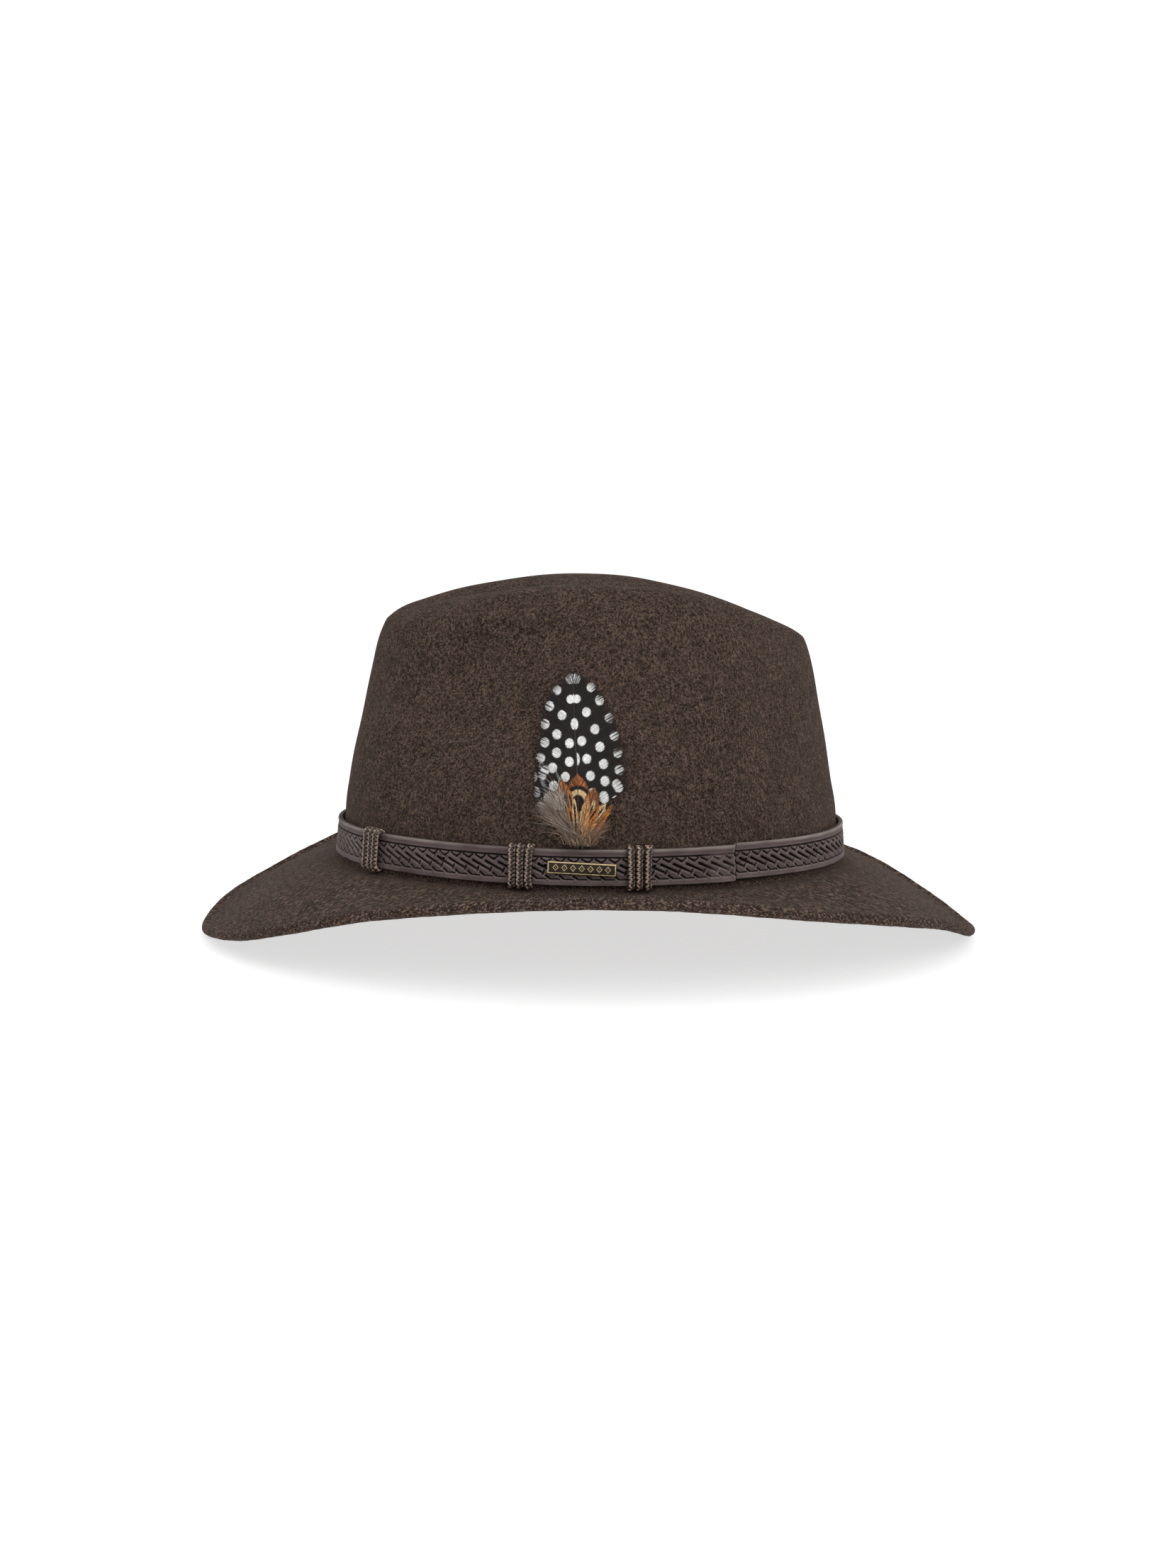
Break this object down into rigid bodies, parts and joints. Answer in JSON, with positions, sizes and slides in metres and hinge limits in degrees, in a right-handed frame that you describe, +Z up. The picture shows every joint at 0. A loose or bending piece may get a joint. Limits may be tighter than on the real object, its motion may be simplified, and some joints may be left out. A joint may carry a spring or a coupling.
{
  "type": "fedora hat",
  "caption": "Brown wool-felt fedora with creased and pinched crown, rolled-edge snap brim, embossed leather band, braided cord keepers, small metal badge and a feather bunch.",
  "frame": {"origin": "centre of the head opening, level with the brim break", "axes": "+Z up through the crown, -Y to the front of the hat, +X to the wearer's left, the trimmed side"},
  "size_m": [0.2908, 0.3252, 0.1472],
  "materials": {
    "felt": "heathered dark brown wool felt",
    "wire": "spring wire",
    "sweat_leather": "smooth tan leather",
    "reed": "matte",
    "thread": "waxed thread",
    "ribbon": "grosgrain",
    "label": "satin tape",
    "strap_leather": "embossed, semi-gloss",
    "strap_thread": "waxed thread",
    "badge": "antiqued",
    "cord": "waxed braid",
    "backing": "felt",
    "binding": "thread",
    "guinea": "spotted feather",
    "pheasant": "barred feather",
    "down_grey": "down",
    "down_brown": "down"
  },
  "bodies": {
    "hat": {"felt_body": "felt", "brim_wire": "wire", "sweatband": "sweat_leather", "sweatband_reed": "reed", "sweatband_stitches": "thread", "sweatband_bow": "ribbon", "care_label": "label", "hatband_strap": "strap_leather", "strap_lap_stitches": "strap_thread", "badge_plate": "badge", "badge_post_washers": "badge"},
    "cord_front": {"cord_wrap_front": "cord"},
    "cord_mid": {"cord_wrap_mid": "cord"},
    "cord_rear": {"cord_wrap_rear": "cord"},
    "feather_bunch": {"feather_backing_tab": "backing", "feather_binding": "binding", "guinea_feather_under": "guinea", "guinea_feather_main": "guinea", "pheasant_feather_1": "pheasant", "pheasant_feather_2": "pheasant", "pheasant_feather_3": "pheasant", "pheasant_feather_4": "pheasant", "down_tuft_grey": "down_grey", "down_tuft_brown": "down_brown"}
  },
  "joints": [
    {"name": "cord_front_slide", "type": "hinge", "parent": "hat", "child": "cord_front", "pos_m": [0, -0.0324, 0.0097], "axis": [0, 0, 1], "range_deg": [-16, 0]},
    {"name": "cord_mid_slide", "type": "hinge", "parent": "hat", "child": "cord_mid", "pos_m": [-0.02693, 0, 0.0097], "axis": [0, 0, 1], "range_deg": [-14, 1]},
    {"name": "cord_rear_slide", "type": "hinge", "parent": "hat", "child": "cord_rear", "pos_m": [-0.02693, 0, 0.0097], "axis": [0, 0, 1], "range_deg": [-0.8, 10]},
    {"name": "feather_lift", "type": "slide", "parent": "hat", "child": "feather_bunch", "axis": [-0.07, 0.0061, 0.9975], "range_m": [0, 0.013]}
  ]
}
